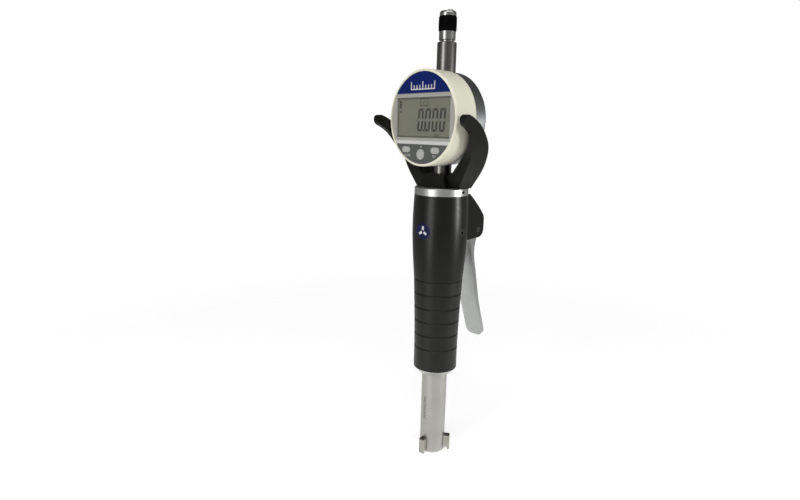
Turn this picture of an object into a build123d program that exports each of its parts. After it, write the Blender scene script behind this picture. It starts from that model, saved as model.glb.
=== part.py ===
from build123d import *
import math
import os

# Three-point bore gauge with a round digital indicator, all sizes in millimetres.
# Gauge axis is +Z, the display faces -Y, the trigger is on +Y.

# ---- driving sizes -------------------------------------------------------
running_gap = 0.05          # radial gap of every sliding or turning fit
seat_gap = 0.02             # radial gap of screws and pins in their holes

head_radius = 8.65          # measuring head tube
head_top = 59.9
plate_thick = 1.2           # end plate under the head
cavity_radius = 6.2
cavity_top = 20.5
anvil_width = 4.2
anvil_bottom = 2.5
anvil_top = 11.0
contact_radius = 12.5       # radius of the contact pads at rest
anvil_travel = 2.51         # how far each anvil draws in
pad_gap = 0.12              # pad to head when drawn in
anvil_angles = {"front": -90, "right": 30, "left": 150}

grip_bottom = 63.5
grip_radius = 14.75
handle_bottom = 126.0
handle_radius = 18.15       # widest radius of the handle
handle_top = 181.9
ring_top = 186.6
ring_radius = 17.45
core_radius = 11.0
core_bore = 8.5

pivot_y = 31.0              # trigger pivot
pivot_z = 156.2
arm_reach = 27.87           # pivot to the nose of the fork
nose_radius = 2.0
lever_width = 14.0
housing_width = 19.0
flange_gap = 0.1            # fork nose to drive collar

block_width = 18.0
block_top = 195.4
clamp_screw_z = 192.2

dial_z = 229.2              # centre of the indicator
dial_turn = -6.5            # indicator turned in its clamp, degrees
dial_radius = 29.0
dial_front = -20.0
dial_split = -3.0
dial_back = 8.5
face_radius = 27.5
lcd_width = 46.0
lcd_height = 24.1
stem_radius = 4.0
boss_radius = 5.9           # thick part of the stem under the dial
plunger_radius = 1.9
tube_top = 275.1
cap_bottom = 276.2
gauge_top = 294.4

down = (Align.CENTER, Align.CENTER, Align.MAX)
up = (Align.CENTER, Align.CENTER, Align.MIN)
os.makedirs("parts", exist_ok=True)


def keep(builder, name):
    builder.part.label = name
    export_step(builder.part, "parts/" + name + ".step")


def keep_turned(builder, name):
    # a piece of the indicator, turned with it about the gauge axis
    turned = Location((0, 0, 0), (0, 0, dial_turn)) * builder.part
    turned.label = name
    export_step(turned, "parts/" + name + ".step")


def turn(points, mode=Mode.ADD):
    # turn an (r, z) outline about the gauge axis into the open part
    with BuildSketch(Plane.XZ) as outline:
        with BuildLine():
            Polyline(*points, close=True)
        make_face()
    revolve(outline.sketch, axis=Axis.Z, mode=mode)


def tube(outer, inner, low, high, mode=Mode.ADD):
    turn([(inner, low), (outer, low), (outer, high), (inner, high)], mode)


def turn_dial(points, mode=Mode.ADD):
    # turn an (r, y) outline about the indicator's own axis
    with BuildSketch(Plane.XY.offset(dial_z)) as outline:
        with BuildLine():
            Polyline(*points, close=True)
        make_face()
    revolve(outline.sketch, axis=Axis((0, 0, dial_z), (0, 1, 0)), mode=mode)


def dial_disc(radius, front, back, mode=Mode.ADD, x=0, z=0):
    with Locations(Location((x, front, dial_z + z), (-90, 0, 0))):
        Cylinder(radius, back - front, align=up, mode=mode)


def rod_x(radius, half, y, z, mode=Mode.ADD):
    with Locations(Location((0, y, z), (0, 90, 0))):
        Cylinder(radius, 2 * half, mode=mode)


def side_extrude(points, half, mode=Mode.ADD):
    # extrude a (y, z) outline both ways along X
    with BuildSketch(Plane.YZ) as outline:
        with BuildLine():
            Polyline(*points, close=True)
        make_face()
    extrude(outline.sketch, amount=half, both=True, mode=mode)


def radial_extrude(points, half, mode=Mode.ADD):
    # extrude an (x, z) outline both ways along Y
    with BuildSketch(Plane.XZ) as outline:
        with BuildLine():
            Polyline(*points, close=True)
        make_face()
    extrude(outline.sketch, amount=half, both=True, mode=mode)


def flat_screw(head_radius, shank_radius, length):
    # countersunk screw, head at z = 0, shank pointing down, hexagon socket
    with BuildPart() as screw:
        Cylinder(shank_radius, length, align=down)
        Cone(shank_radius, head_radius, head_radius - shank_radius, align=down)
        with BuildSketch() as socket:
            RegularPolygon(head_radius * 0.42, 6)
        extrude(socket.sketch, amount=-0.45 * head_radius, mode=Mode.SUBTRACT)
    return screw.part


def flat_screw_hole(head_radius, shank_radius, length):
    with BuildPart() as hole:
        Cylinder(shank_radius + seat_gap, length + 0.2, align=down)
        Cone(shank_radius + seat_gap, head_radius + seat_gap, head_radius - shank_radius, align=down)
        Cylinder(head_radius + seat_gap, 3, align=up)
    return hole.part


def cut_at(tool, places):
    with Locations(*places):
        add(tool, mode=Mode.SUBTRACT)


# ---- measuring head ------------------------------------------------------
plate_screw = flat_screw(1.15, 0.65, 6.0)
plate_screw_hole = flat_screw_hole(1.15, 0.65, 6.0)
plate_screw_places = []
for angle in (90, 210, 330):
    screw_x = 7.25 * math.cos(math.radians(angle))
    screw_y = 7.25 * math.sin(math.radians(angle))
    plate_screw_places.append(Location((screw_x, screw_y, 0.1), (180, 0, 0)))


def cone_face(z):
    # distance of the inclined flat from the axis at height z
    return 2.0 + 0.5 * (z - 2.0)


def ramp(low, high, near, far):
    # slanted outline between two radial offsets from the inclined flat
    return [
        (cone_face(low) + near, low),
        (cone_face(low) + far, low),
        (cone_face(high) + far, high),
        (cone_face(high) + near, high),
    ]


with BuildPart() as head_body:
    tube(head_radius, 4.0, plate_thick, head_top)
    tube(5.95, 4.0, head_top, head_top + 11.0)
    tube(cavity_radius, 0, plate_thick - 0.1, cavity_top, mode=Mode.SUBTRACT)
    for angle in anvil_angles.values():
        with Locations(Location((0, 0, 0), (0, 0, angle))):
            with BuildPart(mode=Mode.PRIVATE) as slot:
                with Locations((3, 0, anvil_bottom - 0.1)):
                    Box(8, anvil_width + 0.1, anvil_top - anvil_bottom + 0.2,
                        align=(Align.MIN, Align.CENTER, Align.MIN))
                with Locations((3, 0, anvil_top)):
                    Box(3.95, 3.3, cavity_top - anvil_top,
                        align=(Align.MIN, Align.CENTER, Align.MIN))
            add(slot.part, mode=Mode.SUBTRACT)
    cut_at(plate_screw_hole, plate_screw_places)
keep(head_body, "head_body")

with BuildPart() as head_end_plate:
    Cylinder(head_radius, plate_thick, align=up)
    chamfer(head_end_plate.faces().sort_by(Axis.Z)[0].edges(), 0.35)
    cut_at(plate_screw_hole, plate_screw_places)
keep(head_end_plate, "head_end_plate")

with BuildPart() as end_plate_screws:
    with Locations(*plate_screw_places):
        add(plate_screw)
keep(end_plate_screws, "end_plate_screws")

with BuildPart() as anvil:
    anvil_inner = 3.9
    ramp_start = 2.0 + 2.0 * (anvil_inner - 0.06 - 2.0)
    pad_inner = head_radius + anvil_travel + pad_gap
    radial_extrude([
        (anvil_inner, anvil_bottom),
        (pad_inner, anvil_bottom),
        (pad_inner, anvil_top),
        (cone_face(anvil_top) + 0.06, anvil_top),
        (anvil_inner, ramp_start),
    ], anvil_width / 2)
    radial_extrude(ramp(0.0, 14.0, -1.0, 0.62), 0.85, mode=Mode.SUBTRACT)
    radial_extrude(ramp(0.0, 14.0, 0.60, 1.32), 1.5, mode=Mode.SUBTRACT)

with BuildPart() as anvil_pad:
    with Locations((pad_inner, 0, 0.3)):
        Box(contact_radius, anvil_width, anvil_top - 0.3, align=(Align.MIN, Align.CENTER, Align.MIN))
    Cylinder(contact_radius, 40, mode=Mode.INTERSECT)
    chamfer(anvil_pad.faces().sort_by(Axis.X)[-1].edges(), 0.3)

for name, angle in anvil_angles.items():
    with BuildPart() as placed_anvil:
        with Locations(Location((0, 0, 0), (0, 0, angle))):
            add(anvil.part)
    keep(placed_anvil, "anvil_" + name)
    with BuildPart() as placed_pad:
        with Locations(Location((0, 0, 0), (0, 0, angle))):
            add(anvil_pad.part)
    keep(placed_pad, "anvil_pad_" + name)

with BuildPart() as measuring_cone:
    tube(5.75, 0, 2.0, 14.0)
    with BuildPart(mode=Mode.PRIVATE) as flat_cut:
        radial_extrude([
            (cone_face(0.0), 0.0),
            (12.0, 0.0),
            (12.0, 12.0),
            (cone_face(12.0), 12.0),
        ], 8)
    with BuildPart(mode=Mode.PRIVATE) as rail:
        radial_extrude(ramp(2.4, 9.0, -0.5, 0.68), 0.75)
        radial_extrude(ramp(2.4, 9.0, 0.68, 1.24), 1.4)
    for angle in anvil_angles.values():
        with Locations(Location((0, 0, 0), (0, 0, angle))):
            add(flat_cut.part, mode=Mode.SUBTRACT)
    for angle in anvil_angles.values():
        with Locations(Location((0, 0, 0), (0, 0, angle))):
            add(rail.part)
keep(measuring_cone, "measuring_cone")

# ---- rod train -----------------------------------------------------------
rod_joint = 66.0
rod_top = 182.0
collar_low = pivot_z + nose_radius + flange_gap
collar_high = collar_low + 4.0
bush_low = 174.4

with BuildPart() as head_rod:
    tube(2.5, 0, 14.0, rod_joint)
keep(head_rod, "head_rod")

with BuildPart() as push_rod:
    tube(2.0, 0, rod_joint, rod_top)
    chamfer(push_rod.faces().sort_by(Axis.Z)[-1].edges(), 0.3)
keep(push_rod, "push_rod")

with BuildPart() as drive_collar:
    tube(7.0, 2.0, collar_low, collar_high)
    chamfer(drive_collar.faces().sort_by(Axis.Z)[-1].edges().sort_by(SortBy.LENGTH)[-1], 0.5)
keep(drive_collar, "drive_collar")

with BuildPart() as rod_bushes:
    tube(4.0, 2.5 + running_gap, 40.0, 50.0)
    tube(5.0, 2.0 + running_gap, bush_low, bush_low + 6.0)
keep(rod_bushes, "rod_bushes")


def coil(wire, radius, low, high, turns):
    # round-wire compression spring on the gauge axis
    height = high - low - 2 * wire
    path = Helix(height / turns, height, radius, center=(0, 0, low + wire))
    with BuildPart() as spring:
        with BuildSketch(Plane(path @ 0, z_dir=path % 0)) as section:
            Circle(wire - 0.005)
        sweep(section.sketch, path=path)
    return spring


main_spring = coil(0.45, 3.6, collar_high, bush_low, 5)
keep(main_spring, "main_spring")

# ---- handle --------------------------------------------------------------
side_screw = flat_screw(2.6, 1.25, 8.6)
side_screw_hole = flat_screw_hole(2.6, 1.25, 8.6)
side_screw_y = 0.4
emblem_z = 159.3
emblem_radius = 5.5
side_screw_z = 158.6
side_screw_places = [
    Location((17.8, side_screw_y, side_screw_z), (0, 90, 0)),
    Location((-17.8, side_screw_y, side_screw_z), (0, -90, 0)),
]
ring_screw = flat_screw(1.15, 0.65, 8.0)
ring_screw_hole = flat_screw_hole(1.15, 0.65, 8.0)
ring_screw_places = [
    Location((10.9, -9.9, ring_top)),
    Location((-10.9, -9.9, ring_top)),
    Location((10.9, 11.6, ring_top)),
    Location((-10.9, 11.6, ring_top)),
]
housing_screw = flat_screw(1.8, 1.0, 8.5)
housing_screw_hole = flat_screw_hole(1.8, 1.0, 8.5)
housing_screw_places = [
    Location((4.5, 25.9, 174.0), (-90, 0, 0)),
    Location((-4.5, 25.9, 174.0), (-90, 0, 0)),
]

with BuildPart() as nose_collar:
    turn([
        (6.0, head_top), (11.6, head_top), (12.0, head_top + 0.4),
        (grip_radius, grip_bottom - 0.3), (grip_radius, grip_bottom),
        (core_bore - seat_gap, grip_bottom), (core_bore - seat_gap, grip_bottom + 7), (6.0, grip_bottom + 7),
    ])
keep(nose_collar, "nose_collar")

with BuildPart() as core_tube:
    tube(core_radius, core_bore, grip_bottom, handle_top)
    with Locations((0, 12, 151.2)):
        Box(13, 14, 15.5, align=up, mode=Mode.SUBTRACT)
    cut_at(side_screw_hole, side_screw_places)
keep(core_tube, "core_tube")

grip_outline = [
    (grip_bottom, grip_radius),
    (81.0, 14.8),
    (97.0, 15.15),
    (110.0, 15.6),
    (handle_bottom, 16.25),
]
groove_pitch = 9.48
groove_count = 6
groove_width = 1.25
groove_floor = 0.3
groove_depth = (groove_width - groove_floor) / 2


def grip_surface(z):
    for (z0, r0), (z1, r1) in zip(grip_outline, grip_outline[1:]):
        if z <= z1:
            return r0 + (r1 - r0) * (z - z0) / (z1 - z0)
    return grip_outline[-1][1]


with BuildPart() as grip_sleeve:
    with BuildSketch(Plane.XZ):
        with BuildLine():
            Spline(*[(r, z) for z, r in grip_outline])
            Polyline((16.25, handle_bottom), (core_radius + seat_gap, handle_bottom),
                     (core_radius + seat_gap, grip_bottom), (grip_radius, grip_bottom))
        make_face()
    revolve(axis=Axis.Z)
    for index in range(groove_count):
        groove_z = handle_bottom - index * groove_pitch
        groove_r = grip_surface(groove_z)
        turn([
            (groove_r + 0.3, groove_z - groove_width / 2 - 0.3),
            (groove_r + 0.3, groove_z + groove_width / 2 + 0.3),
            (groove_r - groove_depth, groove_z + groove_floor / 2),
            (groove_r - groove_depth, groove_z - groove_floor / 2),
        ], mode=Mode.SUBTRACT)
keep(grip_sleeve, "grip_sleeve")


def handle_blank(extra):
    # outer shape of the handle, grown by a small amount
    with BuildPart() as blank:
        with BuildSketch(Plane.XZ):
            with BuildLine():
                Spline(
                    (16.25 + extra, handle_bottom), (17.3 + extra, 140.0), (18.0 + extra, 153.5),
                    (handle_radius + extra, 161.0), (18.05 + extra, 168.5), (ring_radius + extra, handle_top),
                )
                Polyline((ring_radius + extra, handle_top), (0, handle_top),
                         (0, handle_bottom), (16.25 + extra, handle_bottom))
            make_face()
        revolve(axis=Axis.Z)
    return Location((0, 0, 0), (0, 0, 45)) * blank.part


with BuildPart() as handle_body:
    add(handle_blank(0))
    Cylinder(core_radius + seat_gap, 400, mode=Mode.SUBTRACT)
    with Locations((0, 15, 151.2)):
        Box(13, 20, 15.5, align=up, mode=Mode.SUBTRACT)
    with Locations(Location((0, -16.5, emblem_z), (90, 0, 0))):
        Cylinder(emblem_radius + seat_gap, 6, align=up, mode=Mode.SUBTRACT)
    cut_at(side_screw_hole, side_screw_places)
    cut_at(ring_screw_hole, ring_screw_places)
    cut_at(housing_screw_hole, housing_screw_places)
keep(handle_body, "handle_body")

with BuildPart() as side_screws:
    with Locations(*side_screw_places):
        add(side_screw)
keep(side_screws, "side_screws")

with BuildPart() as emblem_disc:
    with Locations(Location((0, -16.5, emblem_z), (90, 0, 0))):
        Cylinder(emblem_radius, 1.4, align=up)
    fillet(emblem_disc.faces().sort_by(Axis.Y)[0].edges(), 0.5)
keep(emblem_disc, "emblem_disc")

# ---- collar ring between handle and yoke ---------------------------------
grub_angle = 6.0            # degrees behind the right side
grub_place = Location((0, 0, 184.4), (0, 90, grub_angle))

with BuildPart() as collar_ring:
    turn([
        (5.3, bush_low + 6.0), (5.3, ring_top), (ring_radius - 0.4, ring_top),
        (ring_radius, ring_top - 0.4), (ring_radius, handle_top), (core_bore - seat_gap, handle_top),
        (core_bore - seat_gap, bush_low), (5.0, bush_low), (5.0, bush_low + 6.0),
    ])
    cut_at(ring_screw_hole, ring_screw_places)
    with BuildPart(mode=Mode.PRIVATE) as grub_hole:
        with Locations((0, 0, 12)):
            Cylinder(1.25, 10, align=up)
    cut_at(grub_hole.part, [grub_place])
keep(collar_ring, "collar_ring")

with BuildPart() as grub:
    with Locations((0, 0, 12.2)):
        Cylinder(1.25 - seat_gap, 4.4, align=up)
    with BuildSketch(Plane.XY.offset(16.6)) as grub_socket:
        RegularPolygon(0.7, 6)
    extrude(grub_socket.sketch, amount=-1.2, mode=Mode.SUBTRACT)

with BuildPart() as ring_grub_screw:
    with Locations(grub_place):
        add(grub.part)
keep(ring_grub_screw, "ring_grub_screw")

with BuildPart() as ring_screws:
    with Locations(*ring_screw_places):
        add(ring_screw)
keep(ring_screws, "ring_screws")

# ---- trigger -------------------------------------------------------------
with BuildPart() as trigger_housing:
    with BuildSketch(Plane.YZ):
        with BuildLine():
            Polyline((31.7, 150.6), (13.0, 150.2), (13.0, 181.5), (19.1, 181.5))
            Spline((19.1, 181.5), (24.4, 177.5), (30.2, 172.5), (35.8, 166.9))
            ThreePointArc((35.8, 166.9), (37.1, 165.1), (37.6, 163.0))
            Line((37.6, 163.0), (37.6, 156.4))
            ThreePointArc((37.6, 156.4), (35.9, 152.3), (31.7, 150.6))
        make_face()
    extrude(amount=housing_width / 2, both=True)
    add(handle_blank(seat_gap), mode=Mode.SUBTRACT)
    side_extrude([
        (10, 140), (42, 140), (42, 153.4), (36.3, 154.4), (36.3, 163.5),
        (32.5, 168.5), (10, 168.5),
    ], lever_width / 2 + 0.2, mode=Mode.SUBTRACT)
    rod_x(1.5 + seat_gap, 12, pivot_y, pivot_z, mode=Mode.SUBTRACT)
    cut_at(housing_screw_hole, housing_screw_places)
keep(trigger_housing, "trigger_housing")

with BuildPart() as housing_screws:
    with Locations(*housing_screw_places):
        add(housing_screw)
keep(housing_screws, "housing_screws")

with BuildPart() as trigger_pivot_pin:
    rod_x(1.5, housing_width / 2 + 0.05, pivot_y, pivot_z)
    with Locations(Location((housing_width / 2, pivot_y, pivot_z), (0, 90, 0)),
                   Location((-housing_width / 2, pivot_y, pivot_z), (0, -90, 0))):
        Cone(2.3, 1.9, 0.5, align=up)
keep(trigger_pivot_pin, "trigger_pivot_pin")

with BuildPart() as trigger_lever:
    with BuildSketch(Plane.YZ):
        with BuildLine():
            Spline(
                (34.2, 155.0), (33.5, 150.5), (32.0, 146.0), (31.3, 141.0), (31.9, 135.0),
                (34.2, 126.5), (38.0, 111.0), (42.1, 97.3), (48.3, 81.0), (50.6, 74.0),
            )
            Line((50.6, 74.0), (47.9, 73.0))
            Spline(
                (47.9, 73.0), (45.5, 80.0), (39.3, 96.2), (35.1, 110.2), (31.3, 125.6),
                (29.0, 134.6), (27.7, 140.6), (26.4, 145.8), (24.4, 150.8),
            )
            Polyline((24.4, 150.8), (24.6, 155.4), (34.2, 155.0))
        make_face()
    extrude(amount=lever_width / 2, both=True)
    end_corners = trigger_lever.edges().filter_by_position(Axis.Z, 72.5, 74.5)
    fillet(end_corners.filter_by(GeomType.LINE).filter_by(lambda edge: edge.length < 5), 4.5)
    rod_x(3.4, lever_width / 2, pivot_y, pivot_z)
    side_extrude([(3.0, 153.8), (28.0, 153.0), (30.0, 159.2), (20.0, 157.7), (3.13, 157.4)], 5.7)
    rod_x(nose_radius, 5.7, pivot_y - arm_reach, pivot_z)
    with Locations((0, 6.0, 148)):
        Box(6.4, 28, 14, align=up, mode=Mode.SUBTRACT)
    rod_x(1.5 + running_gap, 12, pivot_y, pivot_z, mode=Mode.SUBTRACT)
keep(trigger_lever, "trigger_lever")

# ---- yoke ----------------------------------------------------------------
block_half = block_width / 2
tie_places = [(-1.5, 189.6), (5.5, 189.6)]

with BuildPart() as yoke_block:
    with Locations((0, -0.2, ring_top)):
        Box(block_width, 20.2, block_top - ring_top, align=up)
    chamfer(yoke_block.faces().sort_by(Axis.Z)[-1].edges().filter_by(Axis.X), 0.8)
    Cylinder(stem_radius, 600, mode=Mode.SUBTRACT)
    for tie_y, tie_z in tie_places:
        for side in (-1, 1):
            with Locations(Location((side * 4.6, tie_y, tie_z), (0, 90 * side, 0))):
                Cylinder(1.2 + seat_gap, 12.0, align=up, mode=Mode.SUBTRACT)
    with Locations(Location((0, stem_radius, clamp_screw_z), (-90, 0, 0))):
        Cylinder(2.0 + seat_gap, 12, align=up, mode=Mode.SUBTRACT)
keep(yoke_block, "yoke_block")

with BuildPart() as stem_clamp_screw:
    with Locations(Location((0, stem_radius, clamp_screw_z), (-90, 0, 0))):
        Cylinder(2.0, 6.0, align=up)
    with BuildSketch(Plane((0, stem_radius + 6.0, clamp_screw_z), z_dir=(0, 1, 0))) as clamp_socket:
        RegularPolygon(1.1, 6)
    extrude(clamp_socket.sketch, amount=-2.2, mode=Mode.SUBTRACT)
keep(stem_clamp_screw, "stem_clamp_screw")

with BuildPart() as arm_tie_rods:
    for side in (-1, 1):
        for tie_y, tie_z in tie_places:
            with Locations(Location((side * 4.6, tie_y, tie_z), (0, 90 * side, 0))):
                Cylinder(1.2, 10.0, align=up)
keep(arm_tie_rods, "arm_tie_rods")

with BuildPart() as yoke_arm_right:
    with BuildSketch(Plane.XZ):
        with BuildLine():
            Polyline((12.0, 195.2), (block_half, 195.2), (block_half, ring_top), (17.4, ring_top))
            Spline(
                (17.4, ring_top), (19.1, 190.5), (21.5, 195.0), (24.1, 200.0), (26.5, 205.0),
                (29.5, 211.0), (32.2, 217.0), (34.4, 223.0), (35.5, 229.0), (35.7, 236.0),
            )
            Line((35.7, 236.0), (31.6, 236.0))
            Spline(
                (31.6, 236.0), (31.6, 228.0), (31.0, 222.0), (29.2, 217.0), (26.4, 212.3),
                (22.0, 207.3), (17.4, 202.3), (14.6, 198.6), (12.0, 195.2),
            )
        make_face()
    extrude(amount=45, both=True)
    with BuildSketch(Plane.YZ) as arm_side:
        with BuildLine():
            Spline(
                (8.2, ring_top), (10.0, 191.0), (11.1, 196.5), (10.8, 203.0), (8.9, 208.3),
                (5.2, 213.6), (-2.6, 220.2), (-10.5, 225.6), (-18.0, 229.3), (-24.2, 231.2),
            )
            ThreePointArc((-24.2, 231.2), (-27.4, 228.0), (-25.2, 224.9))
            Spline(
                (-25.2, 224.9), (-21.4, 223.2), (-17.6, 220.8), (-14.6, 217.4), (-12.0, 213.0),
                (-8.9, 207.8), (-7.4, 203.0), (-7.0, 198.0), (-6.2, 193.0), (-4.4, ring_top),
            )
            Line((-4.4, ring_top), (8.2, ring_top))
        make_face()
    extrude(arm_side.sketch, amount=60, both=True, mode=Mode.INTERSECT)
    for tie_y, tie_z in tie_places:
        rod_x(1.2 + seat_gap, 14.8, tie_y, tie_z, mode=Mode.SUBTRACT)
keep(yoke_arm_right, "yoke_arm_right")

with BuildPart() as yoke_arm_left:
    add(mirror(yoke_arm_right.part, about=Plane.YZ, mode=Mode.PRIVATE))
keep(yoke_arm_left, "yoke_arm_left")

# ---- indicator housing ---------------------------------------------------
stem_top = 203.3
tube_seat = 256.5
spigot_low = 254.7
battery_z = -6.0


def axis_holes():
    # holes through the housing wall for stem and top tube
    with Locations((0, 0, 190)):
        Cylinder(boss_radius + seat_gap, 11.0, align=up, mode=Mode.SUBTRACT)
    with Locations((0, 0, 195)):
        Cylinder(stem_radius + seat_gap, 12.0, align=up, mode=Mode.SUBTRACT)
    with Locations((0, 0, 250)):
        Cylinder(5.0 + seat_gap, 12.0, align=up, mode=Mode.SUBTRACT)
    with Locations((0, 0, tube_seat)):
        Cylinder(6.0 + seat_gap, 12.0, align=up, mode=Mode.SUBTRACT)


plate_bolts = []
for a in (45, 135, 225, 315):
    plate_bolts.append((21.5 * math.cos(math.radians(a)), 21.5 * math.sin(math.radians(a))))
back_screw = flat_screw(2.0, 0.9, 3.2)
back_screw_hole = flat_screw_hole(2.0, 0.9, 3.2)
back_screw_places = [Location((x, dial_back, dial_z + z), (-90, 0, 0)) for x, z in plate_bolts]

with BuildPart() as front_housing:
    turn_dial([
        (face_radius + 0.1, dial_front), (dial_radius - 0.5, dial_front), (dial_radius, dial_front + 0.5),
        (dial_radius, dial_split), (26.8, dial_split), (26.8, -18.2), (face_radius + 0.1, -18.2),
    ])
    axis_holes()
keep_turned(front_housing, "front_housing")

with BuildPart() as rear_housing:
    turn_dial([
        (25.6, dial_split), (28.6, dial_split), (28.6, 5.6), (27.4, 6.8),
        (0, 6.8), (0, 5.2), (25.6, 5.2),
    ])
    axis_holes()
    dial_disc(11.3, 0.0, 12.0, mode=Mode.SUBTRACT, z=battery_z)
    cut_at(back_screw_hole, back_screw_places)
keep_turned(rear_housing, "rear_housing")
with BuildPart() as back_plate:
    turn_dial([(0, 6.8), (27.0, 6.8), (27.0, 8.1), (26.6, dial_back), (0, dial_back)])
    dial_disc(11.8, 0.0, 12.0, mode=Mode.SUBTRACT, z=battery_z)
    cut_at(back_screw_hole, back_screw_places)
keep_turned(back_plate, "back_plate")

with BuildPart() as back_plate_screws:
    with Locations(*back_screw_places):
        add(back_screw)
keep_turned(back_plate_screws, "back_plate_screws")

with BuildPart() as battery:
    dial_disc(10.0, 3.7, 6.9, z=battery_z)
    fillet(battery.edges(), 0.3)
keep_turned(battery, "battery")

with BuildPart() as battery_cover:
    dial_disc(11.3 - running_gap, 6.3, 8.0, z=battery_z)
    dial_disc(11.75, 7.2, 9.0, z=battery_z)
    with Locations((0, 9.0, dial_z + battery_z)):
        Box(12, 1.2, 1.8, mode=Mode.SUBTRACT)
    dial_disc(10.6, 6.2, 6.9, mode=Mode.SUBTRACT, z=battery_z)
keep_turned(battery_cover, "battery_cover")

# ---- indicator face ------------------------------------------------------
face_plane = Plane((0, -19.4, dial_z), x_dir=(1, 0, 0), z_dir=(0, -1, 0))
back_plane = Plane((0, -18.2, dial_z), x_dir=(1, 0, 0), z_dir=(0, -1, 0))
skin_thick = 0.25
lcd_z = 0.4
button_spots = {
    "mode_button": (-13.0, -19.1),
    "set_button": (12.4, -19.0),
    "centre_button": (0.0, -21.7),
}


def button_outline(name, grow):
    if name == "centre_button":
        Circle(3.25 + grow)
    else:
        SlotOverall(7.0 + 2 * grow, 3.8 + 2 * grow)


def cut_buttons(plane, amount):
    for name, spot in button_spots.items():
        with BuildSketch(plane) as opening:
            with Locations(spot):
                button_outline(name, 0.1)
        extrude(opening.sketch, amount=amount, both=True, mode=Mode.SUBTRACT)


with BuildPart() as face_panel:
    dial_disc(face_radius, -19.4, -18.2)
    with Locations((0, -18.8, dial_z + lcd_z)):
        Box(lcd_width + 0.1, 6, lcd_height + 0.1, mode=Mode.SUBTRACT)
    cut_buttons(face_plane, 5)
keep_turned(face_panel, "face_panel")


def face_segment(low, high):
    # thin skin on the face between two heights
    with BuildSketch(face_plane) as skin:
        Circle(face_radius - 0.1)
        with Locations((0, (low + high) / 2)):
            Rectangle(80, high - low, mode=Mode.INTERSECT)
    extrude(skin.sketch, amount=skin_thick)


with BuildPart() as blue_panel:
    face_segment(14.9, 29.0)
keep_turned(blue_panel, "blue_panel")

with BuildPart() as key_panel:
    face_segment(-29.0, -15.8)
    cut_buttons(face_plane, 5)
keep_turned(key_panel, "key_panel")

with BuildPart() as lens_window:
    with Locations((0, -18.95, dial_z + lcd_z)):
        Box(lcd_width, 1.0, lcd_height)
    chamfer(lens_window.edges().filter_by(Axis.Y), 0.6)
keep_turned(lens_window, "lens_window")

with BuildPart() as lcd_module:
    with Locations((0, -16.925, dial_z + lcd_z)):
        Box(44.4, 3.05, 22.6)
keep_turned(lcd_module, "lcd_module")

for name, spot in button_spots.items():
    with BuildPart() as button:
        with BuildSketch(face_plane):
            with Locations(spot):
                button_outline(name, 0)
        extrude(amount=1.0)
        fillet(button.faces().sort_by(Axis.Y)[0].edges(), 0.3)
        with BuildSketch(back_plane) as shank:
            with Locations(spot):
                button_outline(name, 0)
        extrude(shank.sketch, amount=1.2)
        with BuildSketch(back_plane.offset(-0.1)) as flange:
            with Locations(spot):
                button_outline(name, 0.5)
        extrude(flange.sketch, amount=-0.6)
        with BuildSketch(back_plane.offset(-0.2)) as neck:
            with Locations(spot):
                button_outline(name, 0)
        extrude(neck.sketch, amount=0.4)
    keep_turned(button, name)

# ---- inside the indicator ------------------------------------------------
with BuildPart() as circuit_board:
    dial_disc(26.8 - seat_gap, -15.4, -14.0)
    with Locations((0, -10.0, dial_z + 14)):
        Box(10, 8, 6)
keep_turned(circuit_board, "circuit_board")

with BuildPart() as read_head:
    with Locations((0, -3.9, dial_z)):
        Box(12, 1.8, 16)
    for post_z in (-6, 6):
        with Locations((0, -4.8, dial_z + post_z)):
            Box(3, 9.2, 2, align=(Align.CENTER, Align.MAX, Align.CENTER))
keep_turned(read_head, "read_head")

# ---- stem, plunger and top tube ------------------------------------------
with BuildPart() as indicator_stem:
    tube(stem_radius, 2.6, 187.4, stem_top)
    tube(boss_radius, 2.6, block_top, 201.0)
keep(indicator_stem, "indicator_stem")

with BuildPart() as plunger_bushes:
    tube(2.6, plunger_radius + running_gap, 187.4, 192.4)
    tube(2.6, plunger_radius + running_gap, 198.3, stem_top)
keep(plunger_bushes, "plunger_bushes")

plunger_foot = 186.5
collar_seat = 245.0
with BuildPart() as plunger:
    tube(plunger_radius, 0, plunger_foot, 282.0)
    tube(3.4, 0, collar_seat - 2.0, collar_seat)
    with Locations((0, -1.3, 218)):
        Box(8, 4, 23, align=(Align.CENTER, Align.MAX, Align.MIN), mode=Mode.SUBTRACT)
keep(plunger, "plunger")

with BuildPart() as contact_point:
    tube(1.7, 0, rod_top + 0.55, plunger_foot)
    with Locations((0, 0, rod_top + running_gap + 1.7)):
        Sphere(1.7, arc_size1=-90, arc_size2=0)
    tube(1.7, 0, rod_top - 2, rod_top + running_gap, mode=Mode.SUBTRACT)
keep(contact_point, "contact_point")

with BuildPart() as linear_scale:
    with Locations((0, -1.3, 218)):
        Box(2.6, 0.8, 23, align=(Align.CENTER, Align.MAX, Align.MIN))
keep(linear_scale, "linear_scale")

plunger_spring = coil(0.25, 2.75, collar_seat, spigot_low, 6)
keep(plunger_spring, "plunger_spring")

neck_radius = 3.95
with BuildPart() as top_tube:
    turn([
        (plunger_radius + running_gap, spigot_low), (5.0, spigot_low), (5.0, tube_seat), (6.0, tube_seat),
        (6.0, tube_top - 0.3), (5.7, tube_top), (neck_radius + running_gap, tube_top),
        (neck_radius + running_gap, 260.5), (plunger_radius + running_gap, 260.5),
    ])
keep(top_tube, "top_tube")

band_low = 281.3
band_high = 290.1
with BuildPart() as lift_cap:
    turn([
        (plunger_radius, 267.0), (neck_radius, 267.0), (neck_radius, cap_bottom), (4.8, cap_bottom),
        (5.1, cap_bottom + 0.3), (5.1, band_low), (3.6, band_low), (3.6, band_high),
        (0, band_high), (0, 282.0), (plunger_radius, 282.0),
    ])
keep(lift_cap, "lift_cap")

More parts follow.
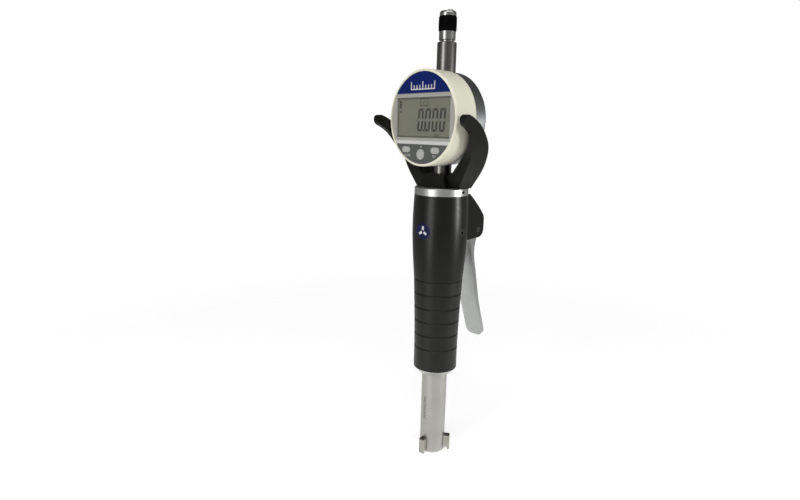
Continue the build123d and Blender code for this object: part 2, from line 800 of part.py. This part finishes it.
with BuildPart() as lift_grip:
    turn([
        (3.6, band_low), (5.2, band_low), (5.5, band_low + 0.6), (5.6, (band_low + band_high) / 2),
        (5.5, band_high - 0.6), (5.2, band_high), (3.6, band_high),
    ])
    with BuildSketch(Plane.XY.offset(band_low - 1)) as flutes:
        with PolarLocations(5.75, 36):
            Circle(0.28)
    extrude(flutes.sketch, amount=12, mode=Mode.SUBTRACT)
keep(lift_grip, "lift_grip")

with BuildPart() as lift_dome:
    turn([
        (0, band_high), (5.1, band_high), (5.1, 291.8), (4.9, 292.6), (4.4, 293.0), (0, 293.0),
    ])
    with Locations((0, 2.0, 292.8)):
        Cylinder(2.0, gauge_top - 292.8, align=up)
    fillet(lift_dome.edges().group_by(Axis.Z)[-1], 0.7)
keep(lift_dome, "lift_dome")
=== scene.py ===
import math

import bpy
from mathutils import Matrix, Vector


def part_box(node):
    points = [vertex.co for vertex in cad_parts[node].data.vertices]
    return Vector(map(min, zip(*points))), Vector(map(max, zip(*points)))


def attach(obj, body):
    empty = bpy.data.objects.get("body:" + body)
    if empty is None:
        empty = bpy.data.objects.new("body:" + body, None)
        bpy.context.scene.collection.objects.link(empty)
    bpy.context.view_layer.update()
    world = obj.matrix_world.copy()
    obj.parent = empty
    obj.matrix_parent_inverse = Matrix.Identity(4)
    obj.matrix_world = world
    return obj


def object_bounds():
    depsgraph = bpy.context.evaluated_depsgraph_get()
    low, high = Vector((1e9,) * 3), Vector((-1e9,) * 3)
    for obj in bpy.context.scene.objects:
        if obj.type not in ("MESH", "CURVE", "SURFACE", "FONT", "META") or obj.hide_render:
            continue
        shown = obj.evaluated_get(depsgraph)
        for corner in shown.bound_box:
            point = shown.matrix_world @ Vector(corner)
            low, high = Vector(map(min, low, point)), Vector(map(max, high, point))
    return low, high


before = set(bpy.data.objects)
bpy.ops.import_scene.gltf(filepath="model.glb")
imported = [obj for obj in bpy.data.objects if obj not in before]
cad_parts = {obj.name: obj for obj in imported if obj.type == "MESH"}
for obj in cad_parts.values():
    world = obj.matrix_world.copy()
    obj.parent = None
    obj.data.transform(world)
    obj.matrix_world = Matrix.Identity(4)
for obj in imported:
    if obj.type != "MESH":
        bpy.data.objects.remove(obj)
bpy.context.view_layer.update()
mm = 0.001


# small helpers for node trees

def addNode(tree, kind, spot, **settings):
    node = tree.nodes.new(kind)
    node.location = spot
    for name, value in settings.items():
        setattr(node, name, value)
    return node


def noiseField(tree, stretch, size, detail, spot):
    # noise in the piece's own space; size is the feature size in millimetres
    place = addNode(tree, "ShaderNodeTexCoord", (spot[0] - 600, spot[1]))
    mapping = addNode(tree, "ShaderNodeMapping", (spot[0] - 400, spot[1]))
    mapping.inputs["Scale"].default_value = stretch
    noise = addNode(tree, "ShaderNodeTexNoise", (spot[0] - 200, spot[1]))
    noise.inputs["Scale"].default_value = 1 / (size * mm)
    noise.inputs["Detail"].default_value = detail
    tree.links.new(place.outputs["Object"], mapping.inputs["Vector"])
    tree.links.new(mapping.outputs["Vector"], noise.inputs["Vector"])
    return noise


def colourSpread(tree, source, dark, light, spot):
    ramp = addNode(tree, "ShaderNodeValToRGB", spot)
    ramp.color_ramp.elements[0].position = 0.3
    ramp.color_ramp.elements[0].color = (*dark, 1)
    ramp.color_ramp.elements[1].position = 0.7
    ramp.color_ramp.elements[1].color = (*light, 1)
    tree.links.new(source.outputs["Fac"], ramp.inputs["Fac"])
    return ramp


def valueSpread(tree, source, low, high, spot):
    span = addNode(tree, "ShaderNodeMapRange", spot)
    span.inputs["From Min"].default_value = 0.3
    span.inputs["From Max"].default_value = 0.7
    span.inputs["To Min"].default_value = low
    span.inputs["To Max"].default_value = high
    tree.links.new(source.outputs["Fac"], span.inputs["Value"])
    return span


evenly = (1, 1, 1)
patchSize = 9       # millimetres across the broad, faint patches of colour
roughSwing = 0.14   # how far roughness wanders either way
bumpDepth = 0.02    # millimetres


def makeFinish(name, look):
    # colour wanders in broad patches; roughness and bump follow a fine grain
    material = bpy.data.materials.new(name)
    material.use_nodes = True
    tree = material.node_tree
    shader = tree.nodes["Principled BSDF"]
    shader.inputs["Metallic"].default_value = look.get("metal", 0)
    shader.inputs["Specular IOR Level"].default_value = look.get("gloss", 0.5)
    shader.inputs["Alpha"].default_value = look.get("clear", 1)
    tint = look["colour"]
    vary = look.get("vary", 0.08)
    dark = tuple(c * (1 - vary) for c in tint)
    light = tuple(min(c * (1 + vary), 1) for c in tint)
    broad = noiseField(tree, evenly, patchSize, 3, (-500, 300))
    spread = colourSpread(tree, broad, dark, light, (-450, 300))
    tree.links.new(spread.outputs["Color"], shader.inputs["Base Color"])
    fine = noiseField(tree, look.get("lay", evenly), look.get("grain", 0.6), 5, (-500, -100))
    smooth = look["rough"] * (1 - roughSwing)
    coarse = look["rough"] * (1 + roughSwing)
    rough = valueSpread(tree, fine, smooth, coarse, (-450, -100))
    tree.links.new(rough.outputs["Result"], shader.inputs["Roughness"])
    bump = addNode(tree, "ShaderNodeBump", (-250, -300))
    bump.inputs["Strength"].default_value = look.get("bump", 0.15)
    bump.inputs["Distance"].default_value = bumpDepth * mm
    tree.links.new(fine.outputs["Fac"], bump.inputs["Height"])
    tree.links.new(bump.outputs["Normal"], shader.inputs["Normal"])
    return material


# one entry per finish; sizes in millimetres, colours linear
turned = (1, 1, 14)      # fine rings round an upright part
drawn = (14, 14, 1)      # fine lines along an upright part
dialTurned = (1, 14, 1)  # fine rings round the dial's own axis

finishes = {
    "head_steel": dict(colour=(0.365, 0.362, 0.335), metal=1, rough=0.40, lay=drawn, grain=1.2,
                       vary=0.05, bump=0.05),
    "plate_steel": dict(colour=(0.50, 0.50, 0.49), metal=1, rough=0.38, grain=0.8),
    "anvil_steel": dict(colour=(0.34, 0.335, 0.29), metal=1, rough=0.34, lay=(3, 3, 1), grain=0.9,
                        vary=0.12),
    "pad_carbide": dict(colour=(0.33, 0.325, 0.285), metal=1, rough=0.28, grain=0.5, vary=0.12),
    "rod_steel": dict(colour=(0.50, 0.49, 0.47), metal=1, rough=0.25, lay=turned, grain=1.2),
    "bush_brass": dict(colour=(0.72, 0.50, 0.22), metal=1, rough=0.3, lay=turned, grain=1.2),
    "spring_steel": dict(colour=(0.50, 0.50, 0.51), metal=1, rough=0.28, grain=0.4),
    "bright_aluminium": dict(colour=(0.47, 0.47, 0.46), metal=1, rough=0.40, lay=turned, grain=1.0,
                             vary=0.03, bump=0.05),
    "core_aluminium": dict(colour=(0.62, 0.62, 0.62), metal=1, rough=0.4, lay=turned, grain=1.6),
    "grip_rubber": dict(colour=(0.0085, 0.009, 0.0078), rough=0.40, grain=0.35, vary=0.2, bump=0.12,
                        gloss=0.24),
    "handle_black": dict(colour=(0.0062, 0.0066, 0.0054), rough=0.33, grain=0.45, vary=0.15,
                         bump=0.06, gloss=0.25),
    "black_metal": dict(colour=(0.0062, 0.0064, 0.0048), rough=0.36, grain=0.35, vary=0.2,
                        bump=0.12, gloss=0.17),
    "screw_black": dict(colour=(0.045, 0.045, 0.042), metal=0.7, rough=0.35, grain=0.4),
    "screw_steel": dict(colour=(0.60, 0.60, 0.58), metal=1, rough=0.25, grain=0.5, bump=0.04),
    "lever_aluminium": dict(colour=(0.42, 0.43, 0.42), metal=1, rough=0.33, lay=(5, 1, 1),
                            grain=1.0, vary=0.05, bump=0.06),
    "emblem_blue": dict(colour=(0.0035, 0.0055, 0.042), rough=0.3, grain=2, bump=0.03, gloss=0.3),
    "housing_white": dict(colour=(0.74, 0.725, 0.59), rough=0.36, grain=0.5, vary=0.02, bump=0.05),
    "housing_metal": dict(colour=(0.42, 0.435, 0.435), metal=1, rough=0.30, lay=dialTurned,
                          grain=1.0, vary=0.05, bump=0.05),
    "plate_blue": dict(colour=(0.025, 0.028, 0.07), metal=0.3, rough=0.38, grain=0.5, bump=0.08),
    "face_grey": dict(colour=(0.33, 0.33, 0.295), rough=0.42, grain=0.3, vary=0.03, bump=0.08),
    "panel_blue": dict(colour=(0.0012, 0.0115, 0.105), rough=0.34, grain=1, vary=0.06, bump=0.03,
                       gloss=0.2),
    "panel_grey": dict(colour=(0.085, 0.090, 0.084), rough=0.38, grain=0.4, vary=0.04, bump=0.06,
                       gloss=0.4),
    "button_grey": dict(colour=(0.38, 0.38, 0.36), rough=0.33, grain=0.5, vary=0.03, bump=0.05),
    "lens_clear": dict(colour=(0.80, 0.83, 0.80), rough=0.08, clear=0.03, vary=0.01, bump=0.0),
    "display_green": dict(colour=(0.235, 0.235, 0.175), rough=0.5, grain=0.3, vary=0.02, bump=0.03),
    "board_green": dict(colour=(0.02, 0.16, 0.06), rough=0.35, grain=1.5),
    "sensor_black": dict(colour=(0.03, 0.03, 0.03), rough=0.5, grain=0.4),
    "battery_steel": dict(colour=(0.66, 0.66, 0.66), metal=1, rough=0.2, grain=1),
    "tube_steel": dict(colour=(0.165, 0.160, 0.150), metal=1, rough=0.33, lay=turned, grain=0.9,
                       vary=0.06, bump=0.04),
    "cap_steel": dict(colour=(0.34, 0.34, 0.33), metal=1, rough=0.30, lay=turned, grain=0.9, bump=0.04),
    "cap_black": dict(colour=(0.0012, 0.0012, 0.0012), rough=0.6, grain=0.4, gloss=0.03),
    "scale_glass": dict(colour=(0.5, 0.55, 0.55), rough=0.1, clear=0.4, bump=0.0),
    "display_ink": dict(colour=(0.014, 0.016, 0.008), rough=0.5, grain=0.5, vary=0.08),
    # dark frame colour round the display window: painted shade, standing in for the shadow inside the
    # window's recess
    "display_edge": dict(colour=(0.085, 0.088, 0.068), rough=0.5, grain=0.5, vary=0.06),
    "print_light": dict(colour=(0.55, 0.55, 0.53), rough=0.45, grain=0.5, vary=0.04),
    "etched_mark": dict(colour=(0.10, 0.10, 0.095), metal=0.3, rough=0.55, grain=0.3, vary=0.2),
}
made = {name: makeFinish(name + "_finish", look) for name, look in finishes.items()}

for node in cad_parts.values():
    for slot in node.material_slots:
        slot.material = made[slot.material.name]
print("finishes on", len(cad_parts), "nodes")


# flat shapes on the dial, drawn in the dial's own frame: x right, z up from its axis

dial = dict(turn=-6.5, front=-19.40, skin=-19.65, module=-18.45, faceRadius=27.4, ink=0.03)
low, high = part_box("front_housing")
dial["height"] = (low.z + high.z) / 2 / mm
dialTurn = Matrix.Rotation(math.radians(dial["turn"]), 4, "Z")
dialPlace = dialTurn @ Matrix.Translation((0, 0, dial["height"] * mm))


def slabMesh(name, outlines, front, thick):
    # each outline is a ring of (x, z) points, made into a thin slab
    points = []
    faces = []
    for ring in outlines:
        area = sum(a[0] * b[1] - b[0] * a[1] for a, b in zip(ring, ring[1:] + ring[:1]))
        ring = ring if area > 0 else ring[::-1]
        start = len(points)
        count = len(ring)
        points += [(x * mm, front * mm, z * mm) for x, z in ring]
        points += [(x * mm, (front + thick) * mm, z * mm) for x, z in ring]
        faces.append([start + i for i in range(count)])
        faces.append([start + count + i for i in reversed(range(count))])
        for i in range(count):
            j = (i + 1) % count
            faces.append([start + i, start + count + i, start + count + j, start + j])
    mesh = bpy.data.meshes.new(name)
    mesh.from_pydata(points, [], faces)
    mesh.update()
    return mesh


def addPiece(name, mesh, finish, place, body="frame"):
    piece = bpy.data.objects.new(name, mesh)
    bpy.context.scene.collection.objects.link(piece)
    mesh.transform(place)
    mesh.materials.append(made[finish])
    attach(piece, body)
    return piece


def box2d(x, z, width, height):
    w = width / 2
    h = height / 2
    return [(x - w, z - h), (x + w, z - h), (x + w, z + h), (x - w, z + h)]


def bandOutline(radius, bottom, top, steps=24):
    # the part of a disc between two level lines
    ring = []
    lowAngle = math.asin(bottom / radius)
    highAngle = math.asin(top / radius)
    for i in range(steps + 1):
        a = lowAngle + (highAngle - lowAngle) * i / steps
        ring.append((radius * math.cos(a), radius * math.sin(a)))
    return ring + [(-x, z) for x, z in reversed(ring)]


def textMesh(name, words, size, thick):
    curve = bpy.data.curves.new(name, "FONT")
    curve.body = words
    curve.size = size * mm
    curve.align_x = "CENTER"
    curve.align_y = "CENTER"
    curve.extrude = thick * mm / 2
    curve.resolution_u = 3
    holder = bpy.data.objects.new(name + "_text", curve)
    bpy.context.scene.collection.objects.link(holder)
    bpy.context.view_layer.update()
    mesh = bpy.data.meshes.new_from_object(holder.evaluated_get(bpy.context.evaluated_depsgraph_get()))
    bpy.data.objects.remove(holder)
    bpy.data.curves.remove(curve)
    mesh.name = name
    mesh.materials.clear()
    return mesh


uprightText = Matrix.Rotation(math.radians(90), 4, "X")


# the reading on the display

reading = dict(centres=(-2.4, 3.8, 10.0, 16.2), level=-1.0, height=13.6, width=4.8, stroke=1.55, slant=0.07,
               gap=0.25, tip=0.1, waist=0.4, pointPlace=(3.0, 0.55), pointSize=1.1)


def zeroSegments(x, look):
    # six strokes of a seven segment nought, each with pointed ends
    w = look["width"] / 2
    h = look["height"] / 2
    s = look["stroke"]
    g = look["gap"]
    tip = look["tip"]
    waist = look["waist"]
    lean = look["slant"]
    rings = []
    for side in (-1, 1):
        rings.append([(-w + g + tip, side * h), (w - g - tip, side * h),
                      (w - s - g, side * (h - s)), (-w + s + g, side * (h - s))])
        for half in (-1, 1):
            rings.append([(side * w, half * (h - g)), (side * w, half * waist),
                          (side * (w - s), half * (waist + s / 2)), (side * (w - s), half * (h - g - s))])
    return [[(x + px + lean * pz, look["level"] + pz) for px, pz in ring] for ring in rings]


shapes = []
for centre in reading["centres"]:
    shapes += zeroSegments(centre, reading)
right, up = reading["pointPlace"]
shapes.append(box2d(reading["centres"][0] + right, reading["level"] - reading["height"] / 2 + up,
                    reading["pointSize"], reading["pointSize"]))
addPiece("display_reading", slabMesh("display_reading", shapes, dial["module"] - dial["ink"], dial["ink"]),
         "display_ink", dialPlace)

# a little box, a battery and a mark; strokes are (right, up, width, height) from their own middle
icons = dict(box=(0.6, 9.5), boxSize=(6.3, 4.0), line=0.38, battery=(-20.7, 8.4), cell=(1.9, 4.6), cells=3,
             cellGap=0.3, mark=(-20.1, 3.9))
boxStrokes = [(-0.7, -0.2, 0.35, 1.4), (0.2, 0.5, 1.4, 0.3), (1.0, -0.3, 0.35, 1.2)]
markStrokes = [(-0.8, 0, 0.7, 1.0), (0.3, 0, 0.7, 1.0)]
shapes = []
x, z = icons["box"]
w, h = icons["boxSize"]
for side in (-1, 1):
    shapes.append(box2d(x, z + side * h / 2, w + icons["line"], icons["line"]))
    shapes.append(box2d(x + side * w / 2, z, icons["line"], h - icons["line"]))
for right, up, width, height in boxStrokes:
    shapes.append(box2d(x + right, z + up, width, height))
x, z = icons["battery"]
w, h = icons["cell"]
for i in range(icons["cells"]):
    shapes.append(box2d(x, z + (i - 1) * h / icons["cells"], w, h / icons["cells"] - icons["cellGap"]))
shapes.append(box2d(x, z + h / 2 + icons["cellGap"] / 2, w * 0.45, 0.5))  # the battery's cap
x, z = icons["mark"]
for right, up, width, height in markStrokes:
    shapes.append(box2d(x + right, z + up, width, height))
addPiece("display_icons", slabMesh("display_icons", shapes, dial["module"] - dial["ink"], dial["ink"]),
         "display_ink", dialPlace)

unit = dict(word="mm", size=3.0, place=(11.8, -10.0))
unitText = textMesh("display_unit", unit["word"], unit["size"], dial["ink"])
x, z = unit["place"]
spot = Matrix.Translation((x * mm, (dial["module"] - dial["ink"] / 2) * mm, z * mm))
unitText.transform(spot @ uprightText)
addPiece("display_unit", unitText, "display_ink", dialPlace)

# a dark frame round the display window: painted shade, standing in for the shadow inside the window's
# recess
recessShade = dict(width=45.9, height=24.0, line=0.95, level=0.4, thick=0.02)
shapes = []
w, h, line = recessShade["width"], recessShade["height"], recessShade["line"]
for side in (-1, 1):
    shapes.append(box2d(0, recessShade["level"] + side * (h - line) / 2, w, line))
    shapes.append(box2d(side * (w - line) / 2, recessShade["level"], line, h - 2 * line))
recessShadeMesh = slabMesh("display_recess_shade", shapes, dial["module"] - recessShade["thick"], recessShade["thick"])
addPiece("display_recess_shade", recessShadeMesh, "display_edge", dialPlace)
print("display drawn")


# trim and lettering on the face

faceBar = dict(bottom=-15.55, top=-13.5, thick=0.2)
bar = bandOutline(dial["faceRadius"], faceBar["bottom"], faceBar["top"])
addPiece("face_bar", slabMesh("face_bar", [bar], dial["front"] - faceBar["thick"], faceBar["thick"]),
         "print_light", dialPlace)

labels = dict(mode=(-12.2, -22.7), set=(11.5, -22.5), size=1.9)
for word in ("mode", "set"):
    label = textMesh(word + "_label", word.upper(), labels["size"], dial["ink"])
    x, z = labels[word]
    spot = Matrix.Translation((x * mm, (dial["skin"] - dial["ink"] / 2) * mm, z * mm))
    label.transform(spot @ uprightText)
    addPiece(word + "_label", label, "print_light", dialPlace)

plus = dict(place=(0, -17.1), size=1.1, line=0.35, arm=0.37)
x, z = plus["place"]
reach = (plus["line"] + plus["arm"]) / 2
shapes = [box2d(x, z, plus["size"], plus["line"])]
for side in (1, -1):
    shapes.append(box2d(x, z + side * reach, plus["line"], plus["arm"]))
addPiece("centre_label", slabMesh("centre_label", shapes, dial["skin"] - dial["ink"], dial["ink"]),
         "print_light", dialPlace)

# a plain row of scale ticks on the blue segment
ticks = dict(level=17.4, spacing=2.5, count=9, line=0.75, short=2.2, tall=4.2, tallEvery=4, base=0.6)
shapes = []
for i in range(ticks["count"]):
    tall = ticks["short"] if i % ticks["tallEvery"] else ticks["tall"]
    x = (i - (ticks["count"] - 1) / 2) * ticks["spacing"]
    shapes.append(box2d(x, ticks["level"] + tall / 2, ticks["line"], tall))
span = ticks["spacing"] * (ticks["count"] - 1) + ticks["line"]
shapes.append(box2d(0, ticks["level"] - ticks["base"] / 2, span, ticks["base"]))
addPiece("blue_panel_ticks", slabMesh("blue_panel_ticks", shapes, dial["skin"] - dial["ink"], dial["ink"]),
         "print_light", dialPlace)

# three short bars, for the three point head
emblem = dict(bars=3, inner=0.85, outer=3.4, width=1.55)
low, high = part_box("emblem_disc")
emblemHeight = (low.z + high.z) / 2 / mm
emblemFront = low.y / mm
shapes = []
for i in range(emblem["bars"]):
    a = math.radians(90 + 360 / emblem["bars"] * i)
    acrossX = -math.sin(a) * emblem["width"] / 2
    acrossZ = math.cos(a) * emblem["width"] / 2
    nearX, nearZ = math.cos(a) * emblem["inner"], math.sin(a) * emblem["inner"]
    farX, farZ = math.cos(a) * emblem["outer"], math.sin(a) * emblem["outer"]
    shapes.append([(nearX + acrossX, nearZ + acrossZ), (nearX - acrossX, nearZ - acrossZ),
                   (farX - acrossX, farZ - acrossZ), (farX + acrossX, farZ + acrossZ)])
addPiece("emblem_mark", slabMesh("emblem_mark", shapes, emblemFront - dial["ink"], dial["ink"]),
         "print_light", Matrix.Translation((0, 0, emblemHeight * mm)))
print("face and emblem marked")


# an etched row of depth ticks on the head's front

etch = dict(bottom=25.4, top=42.0, spacing=1.1, short=2.2, long=3.4, longEvery=5, line=0.55, lift=0.012,
            thick=0.03, turn=-2, bends=3)
low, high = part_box("head_body")
headRadius = (high.y - low.y) / 2 / mm
markRadius = headRadius + etch["lift"]
points = []
faces = []
for i in range(int((etch["top"] - etch["bottom"]) / etch["spacing"]) + 1):
    z = etch["bottom"] + i * etch["spacing"]
    length = etch["short"] if i % etch["longEvery"] else etch["long"]
    start = len(points)
    for step in range(etch["bends"] + 1):
        # four corners of the tick's section, then on to the next bend round the tube
        a = math.radians(etch["turn"]) + (step / etch["bends"] * length - etch["long"] / 2) / headRadius
        for level in (z - etch["line"] / 2, z + etch["line"] / 2):
            for radius in (markRadius - etch["thick"], markRadius):
                points.append((radius * math.sin(a) * mm, -radius * math.cos(a) * mm, level * mm))
    for step in range(etch["bends"]):
        n = start + step * 4
        faces += [(n + 1, n + 5, n + 7, n + 3), (n, n + 2, n + 6, n + 4), (n, n + 4, n + 5, n + 1),
                  (n + 2, n + 3, n + 7, n + 6)]
    end = len(points) - 4
    faces += [(start, start + 1, start + 3, start + 2), (end, end + 2, end + 3, end + 1)]
etchMesh = bpy.data.meshes.new("head_ticks")
etchMesh.from_pydata(points, [], faces)
etchMesh.update()
addPiece("head_ticks", etchMesh, "etched_mark", Matrix.Identity(4))
print("head etched")


# floor, surroundings and lights

# the floor is a disc that fades out, so that no edge of it shows
floorLook = dict(radius=0.9, steps=64, colour=(0.80, 0.80, 0.80), rough=0.9, glow=0.62,
                 fadeFrom=0.12, fadeTo=0.55)
mesh = bpy.data.meshes.new("floor")
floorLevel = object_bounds()[0].z
ring = []
for i in range(floorLook["steps"]):
    a = math.tau * i / floorLook["steps"]
    ring.append((floorLook["radius"] * math.cos(a), floorLook["radius"] * math.sin(a), floorLevel))
mesh.from_pydata(ring, [], [list(range(floorLook["steps"]))])
floor = bpy.data.objects.new("floor", mesh)
bpy.context.scene.collection.objects.link(floor)
floorMaterial = bpy.data.materials.new("pale_floor")
floorMaterial.use_nodes = True
tree = floorMaterial.node_tree
shader = tree.nodes["Principled BSDF"]
shader.inputs["Base Color"].default_value = (*floorLook["colour"], 1)
shader.inputs["Roughness"].default_value = floorLook["rough"]
shader.inputs["Emission Color"].default_value = (1, 1, 1, 1)
shader.inputs["Emission Strength"].default_value = floorLook["glow"]
place = addNode(tree, "ShaderNodeTexCoord", (-900, 0))
reach = addNode(tree, "ShaderNodeVectorMath", (-700, 0), operation="LENGTH")
fade = addNode(tree, "ShaderNodeMapRange", (-500, 0), interpolation_type="SMOOTHSTEP")
fade.inputs["From Min"].default_value = floorLook["fadeFrom"]
fade.inputs["From Max"].default_value = floorLook["fadeTo"]
fade.inputs["To Min"].default_value = 1
fade.inputs["To Max"].default_value = 0
tree.links.new(place.outputs["Object"], reach.inputs[0])
tree.links.new(reach.outputs["Value"], fade.inputs["Value"])
tree.links.new(fade.outputs["Result"], shader.inputs["Alpha"])
mesh.materials.append(floorMaterial)

# plain white to the camera, dimmer overhead than at the horizon for the object
surround = dict(seen=1.0, low=0.30, overhead=0.07, dimFrom=-0.1, dimTo=0.6)
world = bpy.data.worlds.new("studio")
bpy.context.scene.world = world
world.use_nodes = True
tree = world.node_tree
tree.nodes.clear()
output = addNode(tree, "ShaderNodeOutputWorld", (400, 0))
mix = addNode(tree, "ShaderNodeMixShader", (200, 0))
ray = addNode(tree, "ShaderNodeLightPath", (-200, 200))
dim = addNode(tree, "ShaderNodeBackground", (0, 0))
dim.inputs["Color"].default_value = (1, 1, 1, 1)
lookedAt = addNode(tree, "ShaderNodeTexCoord", (-700, 0))
axes = addNode(tree, "ShaderNodeSeparateXYZ", (-500, 0))
shade = addNode(tree, "ShaderNodeMapRange", (-300, 0))
shade.inputs["From Min"].default_value = surround["dimFrom"]
shade.inputs["From Max"].default_value = surround["dimTo"]
shade.inputs["To Min"].default_value = surround["low"]
shade.inputs["To Max"].default_value = surround["overhead"]
tree.links.new(lookedAt.outputs["Generated"], axes.inputs["Vector"])
tree.links.new(axes.outputs["Z"], shade.inputs["Value"])
tree.links.new(shade.outputs["Result"], dim.inputs["Strength"])
bright = addNode(tree, "ShaderNodeBackground", (0, -150))
bright.inputs["Color"].default_value = (1, 1, 1, 1)
bright.inputs["Strength"].default_value = surround["seen"]
tree.links.new(ray.outputs["Is Camera Ray"], mix.inputs["Fac"])
tree.links.new(dim.outputs["Background"], mix.inputs[1])
tree.links.new(bright.outputs["Background"], mix.inputs[2])
tree.links.new(mix.outputs["Shader"], output.inputs["Surface"])

target = Vector((0, 0, 0.16))
lightFar = 0.9
softboxes = {
    "left_softbox": dict(turn=-4, rise=8, size=(0.34, 0.9), power=4.6),
    "right_strip": dict(turn=112, rise=-2, size=(0.13, 0.16), power=3.4),
    "right_fill": dict(turn=80, rise=42, size=(0.6, 0.4), power=1.6),
    "top_softbox": dict(turn=30, rise=60, size=(0.5, 0.5), power=3.0),
}
for name, look in softboxes.items():
    light = bpy.data.lights.new(name, "AREA")
    light.shape = "RECTANGLE"
    light.size, light.size_y = look["size"]
    light.energy = look["power"]
    lamp = bpy.data.objects.new(name, light)
    a = math.radians(look["turn"])
    e = math.radians(look["rise"])
    out = Vector((math.sin(a) * math.cos(e), -math.cos(a) * math.cos(e), math.sin(e)))
    lamp.location = target + out * lightFar
    lamp.rotation_mode = "QUATERNION"
    lamp.rotation_quaternion = (-out).to_track_quat("-Z", "Y")
    bpy.context.scene.collection.objects.link(lamp)
bpy.context.scene.view_settings.view_transform = "Standard"
print("studio lit")


# the camera, just above the dial's level and to its right

shot = dict(place=(0.2161, -0.2852, 0.2209), heading=(-0.6603, 0.7510), tilt=12.16, lean=1.305,
            lens=24.70, sensor=36)
camera = bpy.data.objects.new("camera", bpy.data.cameras.new("camera"))
bpy.context.scene.collection.objects.link(camera)
camera.data.lens = shot["lens"]
camera.data.sensor_width = shot["sensor"]
camera.data.clip_start = 0.01
tilt = math.radians(shot["tilt"])
lean = math.radians(shot["lean"])
headingX, headingY = shot["heading"]
forward = Vector((headingX * math.cos(tilt), headingY * math.cos(tilt), -math.sin(tilt)))
right = forward.cross(Vector((0, 0, 1))).normalized()
up = right.cross(forward)
leanRight = right * math.cos(lean) + up * math.sin(lean)
leanUp = up * math.cos(lean) - right * math.sin(lean)
facing = Matrix((leanRight, leanUp, -forward)).transposed().to_4x4()
camera.matrix_world = Matrix.Translation(shot["place"]) @ facing
bpy.context.scene.camera = camera
